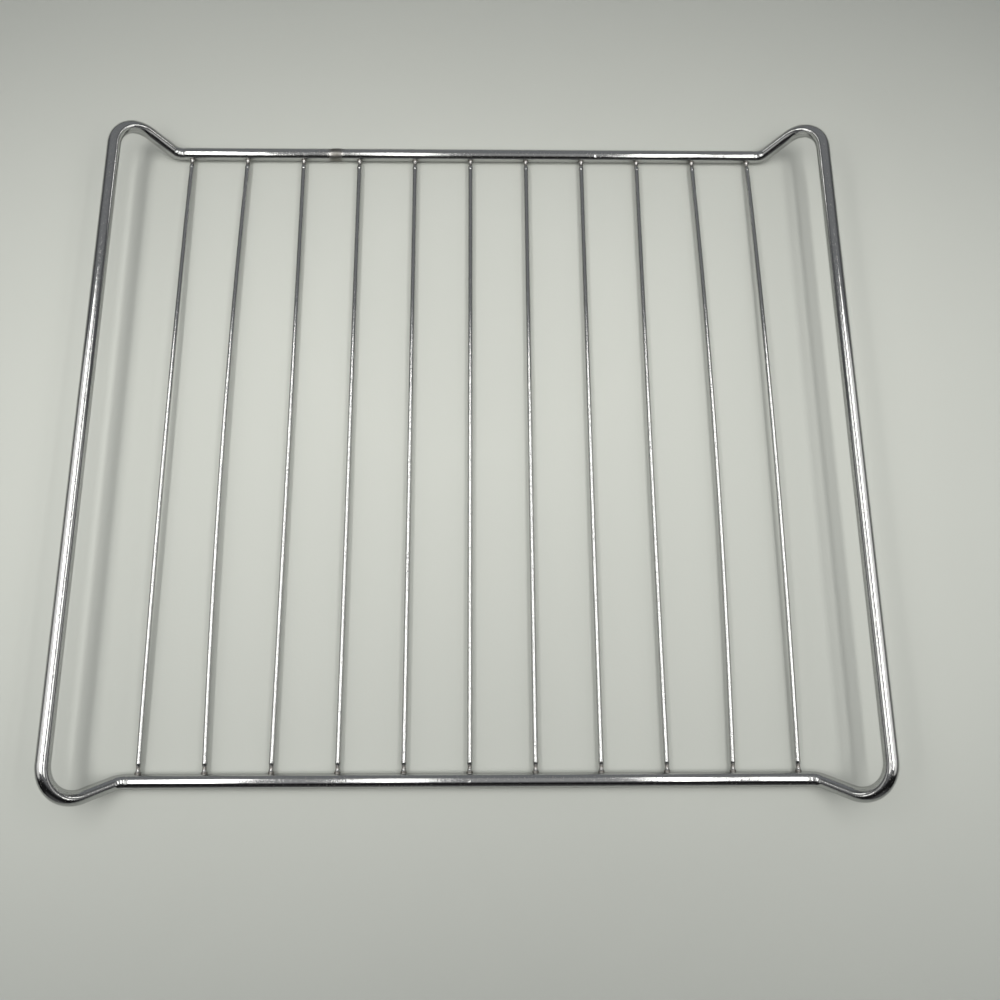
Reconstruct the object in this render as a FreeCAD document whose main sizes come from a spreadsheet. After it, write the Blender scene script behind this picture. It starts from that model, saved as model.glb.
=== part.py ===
import FreeCAD, Part
import math
import os
import Sketcher

App = FreeCAD
V = App.Vector

# Oven shelf rack: one bent and butt welded frame wire, eleven thin rungs welded between its bars.
# X runs along the bars, Y from front to back, Z up; the origin is under the middle, on the table.
# Rungs are numbered from the left; the outer ones on both sides are bowed by use.
RUNG_COUNT = 11
MIDDLE_RUNG = (RUNG_COUNT + 1) // 2
BENT_RUNGS = (1, 2, 10, 11)

doc = App.newDocument("rack")
sheet = doc.addObject("Spreadsheet::Sheet", "Sizes")

# Named sizes, in millimetres apart from one share
sizes = [
    ("frame_dia", "5.6", "diameter of the frame wire"),
    ("rail_half", "153.4", "half the distance between the side rails, centre to centre"),
    ("rail_rise", "22.5", "rails above the bars, centre to centre"),
    ("bar_half", "133.8", "half the distance between front and back bar, centre to centre"),
    ("corner_in", "20.1", "from a rail in to the bend at the end of a bar"),
    ("corner_step", "8.8", "how far the corner stands out beyond the line of the bar"),
    ("share", "0.2", "where the two bent lengths of a corner meet, as a share of its slanting run"),
    ("bend_tight", "6.0", "centre line radius of the bend at the end of a bar"),
    ("bend_wide", "12.7", "centre line radius of the bend into the rail"),
    ("rung_dia", "2.0", "diameter of a rung"),
    ("rung_margin", "7.3", "from the bend at the end of a bar to the last rung"),
    ("flare_dia", "2.7", "diameter of the weld flare at a rung end, where it meets the bar"),
    ("flare_len", "1.1", "length of the weld flare beyond the bar"),
    ("seam_from_end", "72.3", "from the bend at the left end of the back bar to the frame's butt weld"),
    ("seam_wide", "4.8", "width of the weld ring"),
    ("seam_high", "0.1", "thickness of the weld ring"),
    ("seam_root", "0.4", "how far the weld ring reaches into the wire"),
    ("seam_lift", "0.12", "how far the weld ring sits high, to be flush below, where the bar lies"),
    ("flare_root", "0.2", "on a bent rung the weld flare starts this far inside the wire"),
    ("bow_run", "46", "from mid length of a bent rung to its two slight bends"),
    ("side_01", "-0.3", "bow of rung 1 between its bends, sideways"),
    ("lift_01", "2.1", "bow of rung 1 between its bends, upward"),
    ("side_02", "-1.8", "bow of rung 2 between its bends, sideways"),
    ("lift_02", "1.0", "bow of rung 2 between its bends, upward"),
    ("side_10", "2.0", "bow of rung 10 between its bends, sideways"),
    ("lift_10", "0.2", "bow of rung 10 between its bends, upward"),
    ("side_11", "1.1", "bow of rung 11 between its bends, sideways"),
    ("lift_11", "2.2", "bow of rung 11 between its bends, upward"),
]
formulas = [
    ("frame_rad", "=frame_dia / 2"),
    ("bar_z", "=frame_rad"),
    ("rail_z", "=bar_z + rail_rise"),
    ("bar_end", "=rail_half - corner_in"),
    ("corner_out", "=bar_half + corner_step"),
    ("tilt_a", "=atan2(rail_rise; corner_step)"),
    ("tilt_b", "=atan2(rail_rise; corner_in)"),
    ("span_a", "=sqrt(corner_step ^ 2 + rail_rise ^ 2)"),
    ("span_b", "=sqrt(corner_in ^ 2 + rail_rise ^ 2)"),
    ("slope_a", "=atan2(span_a; corner_in)"),
    ("slope_b", "=atan2(corner_step; span_b)"),
    ("seam_at", "=seam_from_end - bar_end"),
    ("rung_pitch", "=(bar_end - rung_margin) / %d" % (RUNG_COUNT - MIDDLE_RUNG)),
    ("rung_rad", "=rung_dia / 2"),
    ("plain_half", "=bar_half - frame_rad - flare_len"),
    ("flare_rad", "=rung_rad + (flare_dia - rung_dia) / 2 * (1 + frame_rad / flare_len)"),
]
for number in BENT_RUNGS:
    tag = "_%02d" % number
    formulas.append(("bow" + tag, "=sqrt(side%s ^ 2 + lift%s ^ 2)" % (tag, tag)))
    formulas.append(("lean" + tag, "=atan2(lift%s; side%s)" % (tag, tag)))
row = 1
for alias, text, note in sizes:
    sheet.set("A%d" % row, alias)
    sheet.set("B%d" % row, text)
    sheet.set("C%d" % row, note)
    sheet.setAlias("B%d" % row, alias)
    row += 1
for alias, text in formulas:
    sheet.set("A%d" % row, alias)
    sheet.set("B%d" % row, text)
    sheet.setAlias("B%d" % row, alias)
    row += 1
doc.recompute()


def val(alias):
    """Number held by a cell of the sheet."""
    got = sheet.get(alias)
    return float(getattr(got, "Value", got))


def plane_of(body, role):
    """Origin plane of a body by its role."""
    return [f for f in body.Origin.OriginFeatures if f.Role == role][0]


def sketch_on(body, role, name):
    """New sketch of a body lying on one of its own origin planes."""
    sk = body.newObject("Sketcher::SketchObject", name)
    sk.AttachmentSupport = (plane_of(body, role), [""])
    sk.MapMode = "FlatFace"
    return sk


def bind(sk, index, name, expression):
    """Name a sketch dimension and tie it to the sheet."""
    sk.renameConstraint(index, name)
    sk.setExpression("Constraints." + name, expression)


def place_at(sk, index, pos, point, x_expr, y_expr, name):
    """Fix a sketch point at a distance from the sketch origin along both axes."""
    i = sk.addConstraint(Sketcher.Constraint("DistanceX", -1, 1, index, pos, point.x))
    bind(sk, i, name + "_x", x_expr)
    i = sk.addConstraint(Sketcher.Constraint("DistanceY", -1, 1, index, pos, point.y))
    bind(sk, i, name + "_y", y_expr)


def bend_path(sk, start, corner, end, radius):
    """Line, bend and line through a corner, joined with tangents."""
    u = (start - corner).normalize()
    w = (end - corner).normalize()
    half = u.getAngle(w) / 2
    reach = radius / math.tan(half)
    centre = corner + (u + w).normalize() * (radius / math.sin(half))
    first = corner + u * reach
    last = corner + w * reach
    from_angle = math.atan2(first.y - centre.y, first.x - centre.x)
    to_angle = math.atan2(last.y - centre.y, last.x - centre.x)
    sk.addGeometry(Part.LineSegment(start, first), False)
    turn = (to_angle - from_angle) % (2 * math.pi)
    circle = Part.Circle(centre, V(0, 0, 1), radius)
    if turn < math.pi:
        sk.addGeometry(Part.ArcOfCircle(circle, from_angle, from_angle + turn), False)
        enter, leave = 1, 2
    else:
        sk.addGeometry(Part.ArcOfCircle(circle, to_angle, to_angle + 2 * math.pi - turn), False)
        enter, leave = 2, 1
    sk.addGeometry(Part.LineSegment(last, end), False)
    sk.addConstraint(Sketcher.Constraint("Tangent", 0, 2, 1, enter))
    sk.addConstraint(Sketcher.Constraint("Tangent", 1, leave, 2, 1))


def round_section(body, role, name, x_expr, y_expr, x, y):
    """Circle of the frame wire, drawn across the start of a path."""
    sk = sketch_on(body, role, name)
    sk.addGeometry(Part.Circle(V(x, y, 0), V(0, 0, 1), val("frame_rad")), False)
    place_at(sk, 0, 3, V(x, y, 0), x_expr, y_expr, "mid")
    i = sk.addConstraint(Sketcher.Constraint("Radius", 0, val("frame_rad")))
    bind(sk, i, "round", "Sizes.frame_rad")
    return sk


def pipe(body, name, profile, spine):
    """Round wire along a drawn path."""
    feature = body.newObject("PartDesign::AdditivePipe", name)
    feature.Profile = profile
    feature.Spine = (spine, ["Edge%d" % (k + 1) for k in range(spine.GeometryCount)])
    feature.SpineTangent = False
    feature.Mode = "Standard"
    feature.Transition = "Right corner"
    feature.Refine = True
    doc.recompute()
    return feature


# Frame wire: a quarter is bent in two tilted planes, then mirrored twice
frame = doc.addObject("PartDesign::Body", "frame")
frame.Label = "frame"

bar_path = sketch_on(frame, "XY_Plane", "bar_path")
bar_path.setExpression("AttachmentOffset.Base.y", "Sizes.bar_half")
bar_path.setExpression("AttachmentOffset.Base.z", "Sizes.bar_z")
bar_path.AttachmentOffset = App.Placement(V(0, 0, 0), App.Rotation(V(1, 0, 0), val("tilt_a")))
bar_path.setExpression("AttachmentOffset.Rotation.Angle", "Sizes.tilt_a")
share = val("share")
a_corner = V(val("bar_end"), 0, 0)
a_far = V(val("rail_half"), val("span_a"), 0)
a_end = a_corner + (a_far - a_corner) * share
bend_path(bar_path, V(0, 0, 0), a_corner, a_end, val("bend_tight"))
bar_path.addConstraint(Sketcher.Constraint("Coincident", 0, 1, -1, 1))
bar_path.addConstraint(Sketcher.Constraint("Horizontal", 0))
i = bar_path.addConstraint(Sketcher.Constraint("Radius", 1, val("bend_tight")))
bind(bar_path, i, "bend", "Sizes.bend_tight")
place_at(bar_path, 2, 2, a_end, "Sizes.bar_end + Sizes.share * Sizes.corner_in",
         "Sizes.share * Sizes.span_a", "run")
i = bar_path.addConstraint(Sketcher.Constraint("Angle", 2, math.radians(val("slope_a"))))
bind(bar_path, i, "slope", "Sizes.slope_a")

rail_path = sketch_on(frame, "XY_Plane", "rail_path")
rail_path.setExpression("AttachmentOffset.Base.x", "Sizes.rail_half")
rail_path.setExpression("AttachmentOffset.Base.z", "Sizes.rail_z")
rail_path.AttachmentOffset = App.Placement(V(0, 0, 0), App.Rotation(V(0, -1, 0), val("tilt_b")))
rail_path.setExpression("AttachmentOffset.Rotation.Angle", "Sizes.tilt_b")
b_corner = V(0, val("corner_out"), 0)
b_far = V(-val("span_b"), val("bar_half"), 0)
b_end = b_far + (b_corner - b_far) * share
bend_path(rail_path, V(0, 0, 0), b_corner, b_end, val("bend_wide"))
rail_path.addConstraint(Sketcher.Constraint("Coincident", 0, 1, -1, 1))
rail_path.addConstraint(Sketcher.Constraint("Vertical", 0))
i = rail_path.addConstraint(Sketcher.Constraint("Radius", 1, val("bend_wide")))
bind(rail_path, i, "bend", "Sizes.bend_wide")
i = rail_path.addConstraint(Sketcher.Constraint("DistanceX", 2, 2, -1, 1, -b_end.x))
bind(rail_path, i, "run_x", "(1 - Sizes.share) * Sizes.span_b")
i = rail_path.addConstraint(Sketcher.Constraint("DistanceY", -1, 1, 2, 2, b_end.y))
bind(rail_path, i, "run_y", "Sizes.bar_half + Sizes.share * Sizes.corner_step")
back_slope = 180 + val("slope_b")
i = rail_path.addConstraint(Sketcher.Constraint("Angle", 2, math.radians(back_slope)))
bind(rail_path, i, "slope", "180 deg + Sizes.slope_b")
doc.recompute()

bar_round = round_section(frame, "YZ_Plane", "bar_round", "Sizes.bar_half", "Sizes.bar_z",
                          val("bar_half"), val("bar_z"))
bar_wire = pipe(frame, "bar_wire", bar_round, bar_path)
rail_round = round_section(frame, "XZ_Plane", "rail_round", "Sizes.rail_half", "Sizes.rail_z",
                           val("rail_half"), val("rail_z"))
rail_wire = pipe(frame, "rail_wire", rail_round, rail_path)

all_round = frame.newObject("PartDesign::MultiTransform", "all_round")
all_round.Originals = [bar_wire, rail_wire]
left = frame.newObject("PartDesign::Mirrored", "left")
left.MirrorPlane = (plane_of(frame, "YZ_Plane"), [""])
front = frame.newObject("PartDesign::Mirrored", "front")
front.MirrorPlane = (plane_of(frame, "XZ_Plane"), [""])
all_round.Transformations = [left, front]
all_round.Refine = True
frame.Tip = all_round
doc.recompute()

# Weld ring where the two ends of the frame wire meet
seam = sketch_on(frame, "XY_Plane", "seam")
seam.setExpression("AttachmentOffset.Base.x", "Sizes.seam_at")
seam.setExpression("AttachmentOffset.Base.y", "Sizes.bar_half")
seam.setExpression("AttachmentOffset.Base.z", "Sizes.bar_z + Sizes.seam_lift")
s_wide = val("seam_wide") / 2
s_low = val("frame_rad") - val("seam_root")
s_top = val("frame_rad") + val("seam_high")
s_pts = [V(-s_wide, s_low, 0), V(s_wide, s_low, 0), V(s_wide, s_top, 0), V(-s_wide, s_top, 0)]
for k in range(4):
    seam.addGeometry(Part.LineSegment(s_pts[k], s_pts[(k + 1) % 4]), False)
for k in range(4):
    seam.addConstraint(Sketcher.Constraint("Coincident", k, 2, (k + 1) % 4, 1))
seam.addConstraint(Sketcher.Constraint("Horizontal", 0))
seam.addConstraint(Sketcher.Constraint("Vertical", 1))
seam.addConstraint(Sketcher.Constraint("Vertical", 3))
seam.addConstraint(Sketcher.Constraint("Symmetric", 1, 2, 3, 1, -2))
i = seam.addConstraint(Sketcher.Constraint("DistanceX", 0, 1, 0, 2, 2 * s_wide))
bind(seam, i, "wide", "Sizes.seam_wide")
i = seam.addConstraint(Sketcher.Constraint("DistanceY", -1, 1, 1, 1, s_low))
bind(seam, i, "inner", "Sizes.frame_rad - Sizes.seam_root")
i = seam.addConstraint(Sketcher.Constraint("DistanceY", -1, 1, 1, 2, s_top))
bind(seam, i, "outer", "Sizes.frame_rad + Sizes.seam_high")
weld_ring = frame.newObject("PartDesign::Revolution", "weld_ring")
weld_ring.Profile = seam
weld_ring.ReferenceAxis = (seam, ["H_Axis"])
weld_ring.Angle = 360.0
weld_ring.Refine = True
frame.Tip = weld_ring
doc.recompute()


def half_outline(body, name, place):
    """Half section of a rung along its axis: plain wire with a weld flare running into each bar."""
    sk = sketch_on(body, "YZ_Plane", name)
    sk.setExpression("AttachmentOffset.Base.y", "Sizes.bar_z")
    sk.setExpression("AttachmentOffset.Base.z", place)
    end = val("bar_half")
    plain = val("plain_half")
    thin = val("rung_rad")
    thick = val("flare_rad")
    pts = [V(-end, 0, 0), V(end, 0, 0), V(end, thick, 0)]
    pts += [V(plain, thin, 0), V(-plain, thin, 0), V(-end, thick, 0)]
    count = len(pts)
    for k in range(count):
        sk.addGeometry(Part.LineSegment(pts[k], pts[(k + 1) % count]), False)
    for k in range(count):
        sk.addConstraint(Sketcher.Constraint("Coincident", k, 2, (k + 1) % count, 1))
    sk.addConstraint(Sketcher.Constraint("Vertical", 1))
    sk.addConstraint(Sketcher.Constraint("PointOnObject", 0, 1, -1))
    sk.addConstraint(Sketcher.Constraint("Symmetric", 0, 1, 0, 2, -2))
    sk.addConstraint(Sketcher.Constraint("Symmetric", 1, 2, 5, 1, -2))
    sk.addConstraint(Sketcher.Constraint("Symmetric", 3, 1, 3, 2, -2))
    i = sk.addConstraint(Sketcher.Constraint("DistanceX", 0, 1, 0, 2, 2 * end))
    bind(sk, i, "whole", "2 * Sizes.bar_half")
    i = sk.addConstraint(Sketcher.Constraint("DistanceX", 3, 2, 3, 1, 2 * plain))
    bind(sk, i, "plain", "2 * Sizes.plain_half")
    i = sk.addConstraint(Sketcher.Constraint("DistanceY", -1, 1, 3, 1, thin))
    bind(sk, i, "thin", "Sizes.rung_rad")
    i = sk.addConstraint(Sketcher.Constraint("DistanceY", -1, 1, 1, 2, thick))
    bind(sk, i, "thick", "Sizes.flare_rad")
    return sk


def new_rung(number):
    """Empty body of a rung, with its name and its place across the rack."""
    name = "rung_%02d" % number
    body = doc.addObject("PartDesign::Body", name)
    body.Label = name
    return body, name, "%d * Sizes.rung_pitch" % (number - MIDDLE_RUNG)


def cope(body, name, sign, place):
    """Cut a rung end to the round of the bar that it is welded to."""
    cut = body.newObject("PartDesign::SubtractiveCylinder", name)
    cut.AttachmentSupport = (plane_of(body, "YZ_Plane"), [""])
    cut.MapMode = "FlatFace"
    cut.setExpression("Radius", "Sizes.frame_rad")
    cut.setExpression("Height", "4 * Sizes.flare_dia")
    cut.setExpression("AttachmentOffset.Base.x", sign + "Sizes.bar_half")
    cut.setExpression("AttachmentOffset.Base.y", "Sizes.bar_z")
    cut.setExpression("AttachmentOffset.Base.z", place + " - 2 * Sizes.flare_dia")
    cut.Refine = True
    body.Tip = cut
    doc.recompute()


def straight_rung(number):
    """One straight rung, turned with its weld flares and coped at both ends."""
    body, name, place = new_rung(number)
    turned = body.newObject("PartDesign::Revolution", name + "_turned")
    turned.Profile = half_outline(body, name + "_half", place)
    turned.ReferenceAxis = (turned.Profile[0], ["H_Axis"])
    turned.Angle = 360.0
    turned.Refine = True
    body.Tip = turned
    doc.recompute()
    cope(body, name + "_cope_back", "", place)
    cope(body, name + "_cope_front", "-", place)
    return body


def bow_path(body, name, number, place):
    """Centre line of a bent rung: three runs with two slight bends, in a plane that leans with the bow."""
    sk = sketch_on(body, "XY_Plane", name)
    sk.setExpression("AttachmentOffset.Base.x", place)
    sk.setExpression("AttachmentOffset.Base.z", "Sizes.bar_z")
    sk.AttachmentOffset = App.Placement(V(0, 0, 0), App.Rotation(V(0, -1, 0), val("lean_%02d" % number)))
    sk.setExpression("AttachmentOffset.Rotation.Angle", "Sizes.lean_%02d" % number)
    end = val("bar_half")
    bow = val("bow_%02d" % number)
    run = val("bow_run")
    pts = [V(0, -end, 0), V(bow, -run, 0), V(bow, run, 0), V(0, end, 0)]
    for k in range(3):
        sk.addGeometry(Part.LineSegment(pts[k], pts[k + 1]), False)
    sk.addConstraint(Sketcher.Constraint("Coincident", 0, 2, 1, 1))
    sk.addConstraint(Sketcher.Constraint("Coincident", 1, 2, 2, 1))
    sk.addConstraint(Sketcher.Constraint("PointOnObject", 0, 1, -2))
    sk.addConstraint(Sketcher.Constraint("Symmetric", 0, 1, 2, 2, -1))
    sk.addConstraint(Sketcher.Constraint("Symmetric", 1, 1, 1, 2, -1))
    i = sk.addConstraint(Sketcher.Constraint("DistanceY", -1, 1, 2, 2, end))
    bind(sk, i, "reach", "Sizes.bar_half")
    i = sk.addConstraint(Sketcher.Constraint("DistanceX", -1, 1, 1, 2, bow))
    bind(sk, i, "bow", "Sizes.bow_%02d" % number)
    i = sk.addConstraint(Sketcher.Constraint("DistanceY", -1, 1, 1, 2, run))
    bind(sk, i, "run", "Sizes.bow_run")
    return sk


def rung_section(body, name, path):
    """Circle of a rung, drawn across the start of its path."""
    sk = body.newObject("Sketcher::SketchObject", name)
    sk.AttachmentSupport = (path, ["Edge1"])
    sk.MapMode = "NormalToEdge"
    sk.addGeometry(Part.Circle(V(0, 0, 0), V(0, 0, 1), val("rung_rad")), False)
    sk.addConstraint(Sketcher.Constraint("Coincident", 0, 3, -1, 1))
    i = sk.addConstraint(Sketcher.Constraint("Radius", 0, val("rung_rad")))
    bind(sk, i, "round", "Sizes.rung_rad")
    doc.recompute()
    return sk


def flare(body, name, turn, sign, place):
    """Weld flare round the end of a bent rung, widest at the middle of the bar."""
    cone = body.newObject("PartDesign::AdditiveCone", name)
    cone.AttachmentSupport = (plane_of(body, "XZ_Plane"), [""])
    cone.MapMode = "FlatFace"
    cone.AttachmentOffset = App.Placement(V(0, 0, 0), App.Rotation(V(1, 0, 0), turn))
    cone.setExpression("Radius1", "Sizes.flare_rad")
    cone.setExpression("Radius2", "Sizes.rung_rad - Sizes.flare_root")
    cone.setExpression("Height", "Sizes.frame_rad + Sizes.flare_len")
    cone.setExpression("AttachmentOffset.Base.x", place)
    cone.setExpression("AttachmentOffset.Base.y", "Sizes.bar_z")
    cone.setExpression("AttachmentOffset.Base.z", sign + "Sizes.bar_half")
    cone.Refine = True
    body.Tip = cone
    doc.recompute()


def bent_rung(number):
    """One rung bowed out of line by use, flared and coped at both ends."""
    body, name, place = new_rung(number)
    path = bow_path(body, name + "_bow", number, place)
    doc.recompute()
    pipe(body, name + "_wire", rung_section(body, name + "_section", path), path)
    flare(body, name + "_flare_back", 0, "-", place)
    flare(body, name + "_flare_front", 180, "", place)
    cope(body, name + "_cope_back", "", place)
    cope(body, name + "_cope_front", "-", place)
    return body


def make_rung(number):
    """Rung by its number from the left."""
    return bent_rung(number) if number in BENT_RUNGS else straight_rung(number)


rungs = [make_rung(number) for number in range(1, RUNG_COUNT + 1)]
doc.recompute()

# Checks, then one file for each piece
for obj in doc.Objects:
    bad = [s for s in obj.State if s in ("Invalid", "Error")]
    if bad:
        raise RuntimeError("%s is %s" % (obj.Name, bad))
os.makedirs("parts", exist_ok=True)
for body in [frame] + rungs:
    shape = body.Shape
    if shape.isNull() or not shape.isValid():
        raise RuntimeError("%s has no valid shape" % body.Label)
    if len(shape.Solids) != 1:
        raise RuntimeError("%s has %d solids" % (body.Label, len(shape.Solids)))
    shape.exportStep("parts/%s.step" % body.Label)
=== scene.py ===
import math
import bpy
import numpy as np
from mathutils import Matrix, Vector


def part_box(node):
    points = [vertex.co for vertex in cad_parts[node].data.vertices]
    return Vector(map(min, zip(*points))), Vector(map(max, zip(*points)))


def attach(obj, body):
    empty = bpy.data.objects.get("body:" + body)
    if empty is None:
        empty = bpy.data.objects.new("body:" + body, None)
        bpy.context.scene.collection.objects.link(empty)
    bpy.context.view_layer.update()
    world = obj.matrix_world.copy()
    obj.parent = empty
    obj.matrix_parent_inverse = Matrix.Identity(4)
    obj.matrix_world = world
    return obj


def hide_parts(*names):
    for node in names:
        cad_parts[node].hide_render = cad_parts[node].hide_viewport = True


# Oven shelf rack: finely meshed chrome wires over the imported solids, on a pale sheet.
# The rack and the camera are in millimetres, which MM turns into metres; sheet and lights are in metres.
MM = 0.001
ROOT = "root"

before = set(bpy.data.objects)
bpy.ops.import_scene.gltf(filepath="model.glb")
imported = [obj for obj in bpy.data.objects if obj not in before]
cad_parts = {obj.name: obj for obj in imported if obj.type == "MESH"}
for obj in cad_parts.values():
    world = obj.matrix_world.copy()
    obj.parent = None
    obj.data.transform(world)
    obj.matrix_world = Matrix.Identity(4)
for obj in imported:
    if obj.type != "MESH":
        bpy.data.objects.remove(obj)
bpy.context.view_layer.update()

# Sizes of the wires, bends and bars, as the solids have them
FRAME_R = 2.8
RUNG_R = 1.0
BAR_Z = FRAME_R
BAR_HALF = 133.8
CORNER_IN = 20.1
CORNER_STEP = 8.8
BEND_TIGHT = 6.0
BEND_WIDE = 12.7

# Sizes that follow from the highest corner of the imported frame's box
frame_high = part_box("frame")[1]
RAIL_HALF = frame_high.x / MM - FRAME_R
RAIL_Z = frame_high.z / MM - FRAME_R
BAR_END = RAIL_HALF - CORNER_IN
CORNER_OUT = BAR_HALF + CORNER_STEP

# The frame's butt weld: a low ring on the back bar, highest on top, dull to just past its edges
SEAM_X = -61.0
SEAM_HALF = 2.4
SEAM_HIGH = 0.1
SEAM_TOP = 1.2
SEAM_DULL = 0.9
SEAM_REACH = 1.3 * SEAM_HALF

# Creases across the tops of the bars where their end bends begin: left or right, front or back, depth
CREASE_AT = 130.3
CREASE_LONG = 0.5
CREASES = ((-1, -1, 0.35), (1, -1, 0.15), (-1, 1, 0.25), (1, 1, 0.12))

# Nicks in the bars: place along the bar, front or back bar, angle from the top towards the front, depth
NICK_SIZE = 0.5
NICKS = ((57.3, 1, 0.5, 0.10), (47.3, 1, 0.4, 0.04), (-0.7, -1, 0.1, 0.06))

# Rungs, numbered from the left; the outer ones are bowed by use, sideways and upward
RUNG_COUNT = 11
MIDDLE_RUNG = (RUNG_COUNT + 1) / 2
RUNG_MARGIN = 7.3
RUNG_PITCH = 2 * (BAR_END - RUNG_MARGIN) / (RUNG_COUNT - 1)
BOWS = {1: (-0.33, 2.29), 2: (-1.96, 1.09), 10: (2.18, 0.22), 11: (1.20, 2.40)}

# Rung ends, from the bar inwards: sunk tip, weld bead, neck and a slight swell
RUNG_FACE = BAR_HALF - FRAME_R
RUNG_SUNK = 0.35
BEAD_HIGH = 0.25
BEAD_AT = RUNG_FACE - 0.25
BEAD_LONG = 0.5
NECK_DEEP = 0.25
NECK_AT = RUNG_FACE - 2.1
NECK_LONG = 0.9
NECK_DULL = 0.8
SWELL_HIGH = 0.12
SWELL_AT = RUNG_FACE - 3.9
SWELL_LONG = 0.5
END_LONG = 7.0

# Mesh steps
FRAME_SIDES = 64
RUNG_SIDES = 32
BAR_STEP = 0.6
RAIL_STEP = 2.0
ARC_STEP = math.radians(3)
LEAST_ARC_STEPS = 4
END_RINGS = 50
MIDDLE_RINGS = 170
FACE_CORNERS = 4

# Below this height the frame's line is on a bar
LOW_BELOW = BAR_Z + 1.0

# Stands for the distance from a mark on a bar to the rest of the frame
ELSEWHERE = 1e3


def unit(v):
    """Vector of length one."""
    return v / np.linalg.norm(v)


def hump(distance, half_width):
    """Smooth bump of height one that fades out at about twice its half width."""
    return np.exp(-(distance / half_width) ** 2)


def turns(sides):
    """Angles of the sides of a wire, from the first direction across it."""
    return 2 * math.pi * np.arange(sides) / sides


# The line of a wire

def fillet(before, corner, after, radius):
    """Points of the bend at a corner, from tangent point to tangent point."""
    u = unit(before - corner)
    w = unit(after - corner)
    half = math.acos(float(u @ w)) / 2
    centre = corner + unit(u + w) * radius / math.sin(half)
    start = unit(corner + u * radius / math.tan(half) - centre)
    stop = unit(corner + w * radius / math.tan(half) - centre)
    turn = math.acos(float(start @ stop))
    steps = max(LEAST_ARC_STEPS, int(turn / ARC_STEP))
    share = np.linspace(0, 1, steps + 1)[:, None]
    spread = np.sin((1 - share) * turn) * start + np.sin(share * turn) * stop
    return centre + radius * spread / math.sin(turn)


def frame_line():
    """Closed centre line of the frame wire, from its butt weld on the back bar to the right and round."""
    corners = []
    for side_x, side_y in ((1, 1), (1, -1), (-1, -1), (-1, 1)):
        bar = (np.array([side_x * BAR_END, side_y * BAR_HALF, BAR_Z]), BEND_TIGHT)
        rail = (np.array([side_x * RAIL_HALF, side_y * CORNER_OUT, RAIL_Z]), BEND_WIDE)
        corners += [bar, rail] if side_x == side_y else [rail, bar]
    bends = []
    for k, (corner, radius) in enumerate(corners):
        before = corners[k - 1][0]
        after = corners[(k + 1) % len(corners)][0]
        bends.append(fillet(before, corner, after, radius))
    points = []
    start = np.array([SEAM_X, BAR_HALF, BAR_Z])
    last = start
    for bend in bends + [start[None]]:
        on_bar = max(bend[0][2], last[2]) < LOW_BELOW
        count = max(1, int(np.linalg.norm(bend[0] - last) / (BAR_STEP if on_bar else RAIL_STEP)))
        points += [last + (bend[0] - last) * k / count for k in range(1 if points else 0, count)]
        points += list(bend)
        last = bend[-1]
    return np.array(points[:-1])


def rings(points, closed):
    """Two directions across the wire at each point, carried along it without twist."""
    ahead = np.roll(points, -1, 0) - np.roll(points, 1, 0)
    if not closed:
        ahead[0] = points[1] - points[0]
        ahead[-1] = points[-1] - points[-2]
    ahead /= np.linalg.norm(ahead, axis=1)[:, None]
    across = np.zeros_like(points)
    across[0] = unit(np.array([0.0, 0.0, 1.0]) - ahead[0] * ahead[0][2])
    for k in range(1, len(points)):
        across[k] = unit(across[k - 1] - ahead[k] * (across[k - 1] @ ahead[k]))
    if closed:
        end = unit(across[-1] - ahead[0] * (across[-1] @ ahead[0]))
        twist = math.atan2(float(np.cross(across[0], end) @ ahead[0]), float(across[0] @ end))
        turn = -twist * np.arange(len(points)) / len(points)
        other = np.cross(ahead, across)
        across = across * np.cos(turn)[:, None] + other * np.sin(turn)[:, None]
    return across, np.cross(ahead, across)


# The mesh of a wire

def tube_faces(count, sides, closed):
    """Faces between the rings of a tube, with a cap at each open end."""
    faces = []
    for k in range(count if closed else count - 1):
        following = (k + 1) % count
        for j in range(sides):
            side = (j + 1) % sides
            faces.append((k * sides + j, following * sides + j, following * sides + side, k * sides + side))
    if not closed:
        last = (count - 1) * sides
        faces.append(tuple(range(sides)))
        faces.append(tuple(range(last + sides - 1, last - 1, -1)))
    return faces


def add_lay(mesh, along, angle):
    """Place of each vertex in the wire's own lay, for its texture: along the wire, and round it."""
    lay = np.zeros((len(along), len(angle), 3), np.float32)
    lay[..., 0] = along[:, None]
    lay[..., 1] = FRAME_R * np.cos(angle)[None]
    lay[..., 2] = FRAME_R * np.sin(angle)[None]
    attribute = mesh.attributes.new("lay", "FLOAT_VECTOR", "POINT")
    attribute.data.foreach_set("vector", lay.reshape(-1))


def add_weld(mesh, weld, sides):
    """How far the metal is dulled by a weld, with one value for each ring."""
    attribute = mesh.attributes.new("weld", "FLOAT", "POINT")
    attribute.data.foreach_set("value", np.repeat(weld.astype(np.float32), sides))


def add_uv(mesh, along, sides):
    """Flat map of the tube: its length one way, its sides the other."""
    uv = mesh.uv_layers.new(name="UVMap")
    for k in range(len(along) - 1):
        for j in range(sides):
            base = (k * sides + j) * FACE_CORNERS
            corners = ((k, j), (k + 1, j), (k + 1, j + 1), (k, j + 1))
            for step, (ring, side) in enumerate(corners):
                uv.data[base + step].uv = (along[ring] / along[-1], side / sides)


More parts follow.
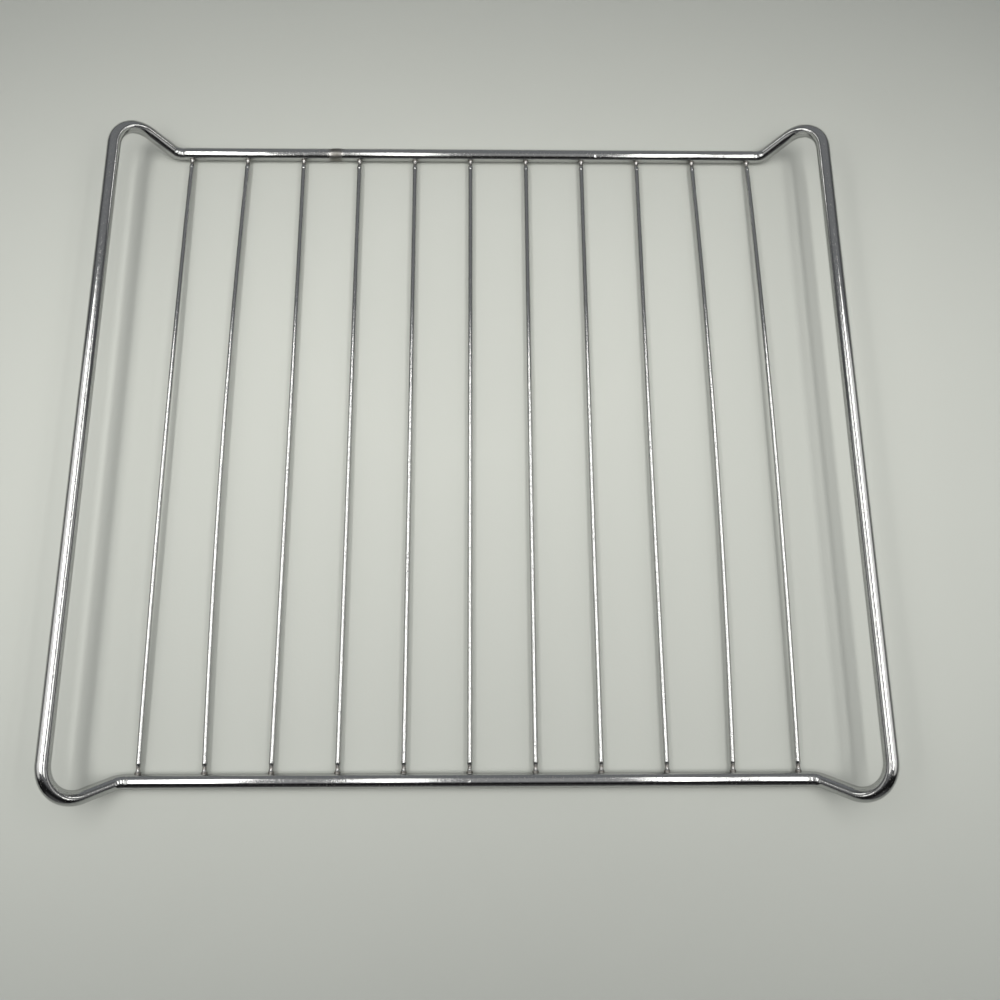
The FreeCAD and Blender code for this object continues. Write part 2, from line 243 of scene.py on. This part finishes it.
def wire(name, points, radius, sides, closed, weld, material):
    """Round wire along its points; radius has a value for each ring, or for each ring and side."""
    count = len(points)
    across, other = rings(points, closed)
    angle = turns(sides)
    radius = np.broadcast_to(radius.reshape(count, -1), (count, sides))
    outward = np.cos(angle)[None, :, None] * across[:, None]
    outward = outward + np.sin(angle)[None, :, None] * other[:, None]
    place = points[:, None] + radius[..., None] * outward
    steps = np.linalg.norm(np.roll(points, -1, 0) - points, axis=1)
    along = np.concatenate([[0], np.cumsum(steps)])
    mesh = bpy.data.meshes.new(name)
    mesh.from_pydata((place.reshape(-1, 3) * MM).tolist(), [], tube_faces(count, sides, closed))
    mesh.update()
    for polygon in mesh.polygons:
        polygon.use_smooth = len(polygon.vertices) == FACE_CORNERS
    add_lay(mesh, along[:count], angle)
    add_weld(mesh, weld, sides)
    add_uv(mesh, along if closed else along[:count], sides)
    mesh.materials.append(material)
    piece = bpy.data.objects.new(name, mesh)
    bpy.context.scene.collection.objects.link(piece)
    return piece


# Shader nodes

# Places of the colour sockets on a mix node
MIX_SHARE = 0
MIX_FIRST = 6
MIX_SECOND = 7
MIX_RESULT = 2


def node(tree, kind, **settings):
    """New shader node with its settings."""
    made = tree.nodes.new(kind)
    for key, value in settings.items():
        setattr(made, key, value)
    return made


def new_material(name):
    """Empty material with its node tree and its shader."""
    material = bpy.data.materials.new(name)
    material.use_nodes = True
    return material, material.node_tree, material.node_tree.nodes["Principled BSDF"]


def stretched(tree, place, scale):
    """Place scaled along its three axes."""
    mapping = node(tree, "ShaderNodeMapping")
    mapping.inputs["Scale"].default_value = scale
    tree.links.new(place, mapping.inputs["Vector"])
    return mapping.outputs["Vector"]


def noise(tree, place, size, detail, rough):
    """Cloudy noise over a place."""
    made = node(tree, "ShaderNodeTexNoise")
    made.inputs["Scale"].default_value = size
    made.inputs["Detail"].default_value = detail
    made.inputs["Roughness"].default_value = rough
    tree.links.new(place, made.inputs["Vector"])
    return made.outputs["Fac"]


def ramp(tree, source, low_at, low_value, high_at, high_value):
    """Straight change of a value between two places of the source."""
    span = node(tree, "ShaderNodeMapRange")
    span.inputs["From Min"].default_value = low_at
    span.inputs["From Max"].default_value = high_at
    span.inputs["To Min"].default_value = low_value
    span.inputs["To Max"].default_value = high_value
    tree.links.new(source, span.inputs["Value"])
    return span.outputs["Result"]


def maths(tree, operation, *terms, **settings):
    """Result of an operation on terms that are plain numbers or come from other nodes."""
    made = node(tree, "ShaderNodeMath", operation=operation, **settings)
    for socket, term in zip(made.inputs, terms):
        if isinstance(term, float):
            socket.default_value = term
        else:
            tree.links.new(term, socket)
    return made.outputs["Value"]


def mixed(tree, share, first, second):
    """Colour that goes from the first to the second as the share rises."""
    made = node(tree, "ShaderNodeMix", data_type="RGBA")
    made.inputs[MIX_FIRST].default_value = first
    made.inputs[MIX_SECOND].default_value = second
    tree.links.new(share, made.inputs[MIX_SHARE])
    return made.outputs[MIX_RESULT]


def bump(tree, height, strength, distance, before=None):
    """Bump, by itself or on top of an earlier one."""
    made = node(tree, "ShaderNodeBump")
    made.inputs["Strength"].default_value = strength
    made.inputs["Distance"].default_value = distance
    tree.links.new(height, made.inputs["Height"])
    if before is not None:
        tree.links.new(before, made.inputs["Normal"])
    return made.outputs["Normal"]


# The chrome: colours of the plate and of its stains, and how the stains dull it
PLATE_COLOUR = (0.50, 0.505, 0.50, 1)
PLATE_TINT = (0.75, 0.75, 0.75, 1)
PLATE_ROUGH_LOW = 0.07
PLATE_ROUGH_HIGH = 0.12
STAIN_COLOUR = (0.15, 0.135, 0.115, 1)
STAIN_DULLER = 0.45
SPECK_FROM = 0.63
SPECK_FULL = 0.72
HEAT_LEAST = 0.7

# Noises in the wire's lay: scale along and round it, size, detail, roughness
RIPPLE = ((0.45, 1.0, 1.0), 1.1, 2.0, 0.45)
DRAWN = ((0.03, 1.0, 1.0), 3.2, 2.0, 0.5)
FINE = ((0.8, 1.0, 1.0), 2.2, 2.0, 0.55)
RIPPLE_LOW = 0.3
RIPPLE_HIGH = 0.7

# Bumps of the plate: strengths, and one height in metres
PEEL_BUMP = 0.05
LINE_BUMP = 0.03
FINE_BUMP = 0.20
PLATE_BUMP_HIGH = 0.0001


def chrome():
    """Bright plate over drawn wire: orange peel, die lines, dull specks and heat tint at the welds."""
    material, tree, shader = new_material("chrome")
    shader.inputs["Metallic"].default_value = 1.0
    shader.inputs["Specular Tint"].default_value = PLATE_TINT
    lay = node(tree, "ShaderNodeAttribute", attribute_name="lay").outputs["Vector"]
    weld = node(tree, "ShaderNodeAttribute", attribute_name="weld").outputs["Fac"]

    ripple, drawn, fine = (noise(tree, stretched(tree, lay, scale), *look)
                           for scale, *look in (RIPPLE, DRAWN, FINE))
    normal = bump(tree, ripple, PEEL_BUMP, PLATE_BUMP_HIGH)
    normal = bump(tree, drawn, LINE_BUMP, PLATE_BUMP_HIGH, normal)
    normal = bump(tree, fine, FINE_BUMP, PLATE_BUMP_HIGH, normal)
    tree.links.new(normal, shader.inputs["Normal"])

    speck = ramp(tree, fine, SPECK_FROM, 0.0, SPECK_FULL, 1.0)
    heat = maths(tree, "MULTIPLY", weld, ramp(tree, ripple, RIPPLE_LOW, HEAT_LEAST, RIPPLE_HIGH, 1.0))
    stain = maths(tree, "MAXIMUM", speck, heat)
    colour = mixed(tree, stain, PLATE_COLOUR, STAIN_COLOUR)
    tree.links.new(colour, shader.inputs["Base Color"])

    rough = ramp(tree, ripple, RIPPLE_LOW, PLATE_ROUGH_LOW, RIPPLE_HIGH, PLATE_ROUGH_HIGH)
    duller = maths(tree, "MULTIPLY_ADD", stain, STAIN_DULLER, rough)
    tree.links.new(duller, shader.inputs["Roughness"])
    return material


# The frame wire

def make_frame(material):
    """Frame wire with its butt weld ring, creases and nicks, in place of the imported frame."""
    line = frame_line()
    low_down = line[:, 2] < LOW_BELOW
    angle = turns(FRAME_SIDES)
    top = np.cos(angle)

    def along_bar(side_y, x):
        """Distance along the front or back bar from a place on it."""
        here = low_down & (line[:, 1] * side_y > 0)
        return np.where(here, line[:, 0] - x, ELSEWHERE)

    beside = along_bar(1, SEAM_X)
    ring = np.clip(1 - (beside / SEAM_HALF) ** 2, 0, 1)
    radius = FRAME_R + ring[:, None] * SEAM_HIGH * np.clip(1 + SEAM_TOP * top, 0, None)[None]
    for side_x, side_y, depth in CREASES:
        away = along_bar(side_y, side_x * CREASE_AT)
        radius = radius - depth * hump(away, CREASE_LONG)[:, None] * np.clip(top, 0, 1)[None]
    for x, side_y, lean, depth in NICKS:
        away = along_bar(side_y, x)
        across = (angle - side_y * lean + math.pi) % (2 * math.pi) - math.pi
        dent = hump(away, NICK_SIZE)[:, None] * hump(FRAME_R * across, NICK_SIZE)[None]
        radius = radius - depth * dent
    weld = SEAM_DULL * hump(beside ** 2, SEAM_REACH ** 2)
    piece = wire("frame_wire", line, radius, FRAME_SIDES, True, weld, material)
    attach(piece, ROOT)
    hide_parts("frame")


# The rungs

def make_rung(number, material):
    """One rung with a weld bead and a neck at each end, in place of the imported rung."""
    name = "rung_%02d" % number
    end = np.linspace(RUNG_FACE - END_LONG, RUNG_FACE + RUNG_SUNK, END_RINGS)
    middle = np.linspace(-end[0], end[0], MIDDLE_RINGS)[1:-1]
    y = np.concatenate([-end[::-1], middle, end])
    sideways, upward = BOWS.get(number, (0.0, 0.0))
    bow = 1 - (y / BAR_HALF) ** 2
    x = (number - MIDDLE_RUNG) * RUNG_PITCH + sideways * bow
    points = np.stack([x, y, BAR_Z + upward * bow], 1)
    bead = hump(np.abs(y) - BEAD_AT, BEAD_LONG)
    neck = hump(np.abs(y) - NECK_AT, NECK_LONG)
    swell = hump(np.abs(y) - SWELL_AT, SWELL_LONG)
    radius = RUNG_R + BEAD_HIGH * bead - NECK_DEEP * neck + SWELL_HIGH * swell
    weld = np.clip(bead + NECK_DULL * neck, 0, 1)
    piece = wire(name + "_wire", points, radius, RUNG_SIDES, False, weld, material)
    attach(piece, ROOT)
    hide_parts(name)


plate = chrome()
make_frame(plate)
for rung_number in range(1, RUNG_COUNT + 1):
    make_rung(rung_number, plate)


# Sheet below: painted shade of the light's falloff greys it between two distances from its middle, set a
# little back
SHEET_HALF = 2.0
SHEET_BACK = 0.05
SHEET_OVAL = (0.85, 1.1, 1.0)
SHEET_NEAR = 0.06
SHEET_FAR = 0.34
SHEET_PALE = (0.680, 0.700, 0.650, 1)
SHEET_RIM_SHADE = (0.390, 0.406, 0.381, 1)
SHEET_MOST_RIM_SHADE = 0.9
SHEET_ROUGH = 0.65
SHEET_SHINE = 0.2

# Faint clouding and a fine tooth of the sheet; noises: size, detail, roughness
CLOUD = (6.0, 3.0, 0.5)
CLOUD_SHARE = 0.12
TOOTH = (900.0, 2.0, 0.5)
TOOTH_BUMP = 0.1
TOOTH_HIGH = 0.0002


def sheet_material():
    """Pale matt sheet with painted shade that greys it towards its rim, faint clouding and a fine tooth."""
    material, tree, shader = new_material("pale_sheet")
    shader.inputs["Roughness"].default_value = SHEET_ROUGH
    shader.inputs["Specular IOR Level"].default_value = SHEET_SHINE
    place = node(tree, "ShaderNodeTexCoord").outputs["Object"]
    out = node(tree, "ShaderNodeVectorMath", operation="LENGTH")
    tree.links.new(stretched(tree, place, SHEET_OVAL), out.inputs[0])
    # Painted shade: the light's falloff towards the rim, mixed into the sheet's colour as grey
    grey = ramp(tree, out.outputs["Value"], SHEET_NEAR, 0.0, SHEET_FAR, SHEET_MOST_RIM_SHADE)
    share = maths(tree, "MULTIPLY_ADD", noise(tree, place, *CLOUD), CLOUD_SHARE, grey, use_clamp=True)
    colour = mixed(tree, share, SHEET_PALE, SHEET_RIM_SHADE)
    tree.links.new(colour, shader.inputs["Base Color"])
    tooth = bump(tree, noise(tree, place, *TOOTH), TOOTH_BUMP, TOOTH_HIGH)
    tree.links.new(tooth, shader.inputs["Normal"])
    return material


def make_sheet():
    """Large flat sheet that the rack lies on."""
    mesh = bpy.data.meshes.new("sheet")
    corners = [(x * SHEET_HALF, y * SHEET_HALF, 0) for x, y in ((-1, -1), (1, -1), (1, 1), (-1, 1))]
    mesh.from_pydata(corners, [], [(0, 1, 2, 3)])
    mesh.materials.append(sheet_material())
    sheet = bpy.data.objects.new("sheet", mesh)
    sheet.location.y = SHEET_BACK
    bpy.context.scene.collection.objects.link(sheet)


make_sheet()


# Lights: five strips overhead from front to back, a soft panel outside them on each side, a faint
# ceiling, a low slanting panel at each side, and small hooded lamps that face the corners
LAMP_COLOUR = (1.0, 0.99, 0.96)
DOWN = Vector((0, 0, -1))
FRONT_TO_BACK = Vector((0, 1, 0))
LIGHT_FRONT = -0.32
SPREAD = math.radians(100)

# Strips: name, place across, width, power
STRIP_HEIGHT = 0.55
STRIP_BACK = 0.26
STRIPS = (
    ("strip_left", -0.245, 0.045, 0.37),
    ("strip_outer_left", -0.295, 0.05, 0.16),
    ("strip_middle", -0.071, 0.05, 0.17),
    ("strip_right", 0.20, 0.04, 0.32),
    ("strip_outer_right", 0.295, 0.05, 0.22),
)

# Faint ceiling
CEILING_HEIGHT = 0.60
CEILING_WIDE = 0.80
CEILING_POWER = 0.22

# Soft panels outside the strips
OUTER_X = 0.36
OUTER_WIDE = 0.17
OUTER_BACK = 0.21
OUTER_POWER = 0.29

# Low slanting panels
SLANT_X = 0.43
SLANT_HEIGHT = 0.20
SLANT_WIDE = 0.30
SLANT_BACK = 0.14
SLANT_TILT = math.radians(60)
SLANT_POWER = 0.17

# Hooded lamps, each across the rack from the corner it faces: front or back corner, place along y, height
HOOD_X = 0.40
HOOD_HIGH = 0.05
HOOD_LONG = 0.08
HOOD_SPREAD = math.radians(9)
HOOD_POWER = 0.0002
HOODS = ((1, 0.31, 0.085), (1, 0.41, 0.16), (-1, -0.31, 0.185), (-1, -0.03, 0.14))


def lamp(name, centre, ahead, wide, long, power, spread=math.pi):
    """Rectangular lamp facing a direction; its length runs from front to back."""
    data = bpy.data.lights.new(name, "AREA")
    data.shape = "RECTANGLE"
    data.size = wide
    data.size_y = long
    data.energy = power
    data.spread = spread
    data.color = LAMP_COLOUR
    back = -ahead.normalized()
    across = FRONT_TO_BACK.cross(back).normalized()
    turn = Matrix((across, back.cross(across), back)).transposed().to_4x4()
    holder = bpy.data.objects.new(name, data)
    holder.matrix_world = Matrix.Translation(centre) @ turn
    holder.visible_camera = False
    bpy.context.scene.collection.objects.link(holder)


def long_lamp(name, x, height, ahead, wide, back_end, power, spread=math.pi):
    """Lamp that reaches from the front to its back end."""
    centre = (x, (LIGHT_FRONT + back_end) / 2, height)
    lamp(name, centre, ahead, wide, back_end - LIGHT_FRONT, power, spread)


def hood_lamp(name, side, side_y, y, height):
    """Small lamp at one side of the rack that faces a corner on the other side."""
    centre = Vector((side * HOOD_X, y, height))
    corner = Vector((-side * RAIL_HALF, side_y * BAR_HALF, RAIL_Z)) * MM
    lamp(name, centre, corner - centre, HOOD_HIGH, HOOD_LONG, HOOD_POWER, HOOD_SPREAD)


for strip_name, strip_x, strip_wide, strip_power in STRIPS:
    long_lamp(strip_name, strip_x, STRIP_HEIGHT, DOWN, strip_wide, STRIP_BACK, strip_power, SPREAD)
long_lamp("ceiling", 0, CEILING_HEIGHT, DOWN, CEILING_WIDE, STRIP_BACK, CEILING_POWER)
for tag, side in (("left", -1), ("right", 1)):
    inward = Vector((-side * math.cos(SLANT_TILT), 0, -math.sin(SLANT_TILT)))
    long_lamp("outer_" + tag, side * OUTER_X, STRIP_HEIGHT, DOWN, OUTER_WIDE, OUTER_BACK, OUTER_POWER)
    long_lamp("slant_" + tag, side * SLANT_X, SLANT_HEIGHT, inward, SLANT_WIDE, SLANT_BACK,
              SLANT_POWER, SPREAD)
    for hood_number, hood in enumerate(HOODS, 1):
        hood_lamp("hood_%s_%d" % (tag, hood_number), side, *hood)


# The room, by how far a direction points from the front, 0, to the back, 1; stops between: place, level
ROOM_FRONT = (0.12, 0.12, 0.12, 1)
ROOM_BACK = (0.26, 0.27, 0.28, 1)
ROOM_STOPS = ((0.08, 0.015), (0.20, 0.015), (0.30, 0.20), (0.38, 0.26))
ROOM_COOL = 1.03

# The room's sides: dusk begins and is full where a direction points this far sideways
DUSK_FROM = 0.6
DUSK_FULL = 0.85
DUSK_LEVEL = 0.45


def make_world():
    """Dim room: dark to the front, where the viewer stands, dusky at the sides and grey behind."""
    world = bpy.data.worlds.new("room")
    world.use_nodes = True
    bpy.context.scene.world = world
    tree = world.node_tree
    background = tree.nodes["Background"]
    place = node(tree, "ShaderNodeTexCoord")
    split = node(tree, "ShaderNodeSeparateXYZ")
    tree.links.new(place.outputs["Generated"], split.inputs["Vector"])
    shade = node(tree, "ShaderNodeValToRGB")
    stops = shade.color_ramp.elements
    stops[0].position = 0.0
    stops[0].color = ROOM_FRONT
    stops[1].position = 1.0
    stops[1].color = ROOM_BACK
    for at, level in ROOM_STOPS:
        stop = stops.new(at)
        stop.color = (level, level, level * ROOM_COOL, 1)
    tree.links.new(ramp(tree, split.outputs["Y"], -1.0, 0.0, 1.0, 1.0), shade.inputs["Fac"])
    sideways = maths(tree, "ABSOLUTE", split.outputs["X"])
    dusk = ramp(tree, sideways, DUSK_FROM, 1.0, DUSK_FULL, DUSK_LEVEL)
    tree.links.new(shade.outputs["Color"], background.inputs["Color"])
    tree.links.new(dusk, background.inputs["Strength"])


make_world()


# Camera at the photograph's place: focal length and lens axis in pixels, place and directions in the
# rack's frame
IMAGE_SIZE = 1000
FOCAL = 1003.6
CENTRE_U = 485.0
CENTRE_V = 401.8
CAMERA_AT = Vector((-0.5, -103.9, 410.4))
CAMERA_RIGHT = Vector((0.99987, -0.00298, 0.01577))
CAMERA_AHEAD = Vector((0.01596, 0.28356, -0.95882))
SENSOR_WIDE = 36.0
CLIP_START = 0.01


def make_camera():
    """Pinhole camera; the picture is off the lens axis, so it has a little shift."""
    data = bpy.data.cameras.new("camera")
    data.sensor_fit = "HORIZONTAL"
    data.sensor_width = SENSOR_WIDE
    data.lens = SENSOR_WIDE * FOCAL / IMAGE_SIZE
    data.shift_x = (IMAGE_SIZE / 2 - CENTRE_U) / IMAGE_SIZE
    data.shift_y = (CENTRE_V - IMAGE_SIZE / 2) / IMAGE_SIZE
    data.clip_start = CLIP_START
    camera = bpy.data.objects.new("camera", data)
    back = -CAMERA_AHEAD.normalized()
    upward = back.cross(CAMERA_RIGHT).normalized()
    right = upward.cross(back)
    turn = Matrix((right, upward, back)).transposed().to_4x4()
    camera.matrix_world = Matrix.Translation(CAMERA_AT * MM) @ turn
    bpy.context.scene.collection.objects.link(camera)
    bpy.context.scene.camera = camera


make_camera()
bpy.context.scene.view_settings.view_transform = "Standard"

bpy.context.view_layer.update()
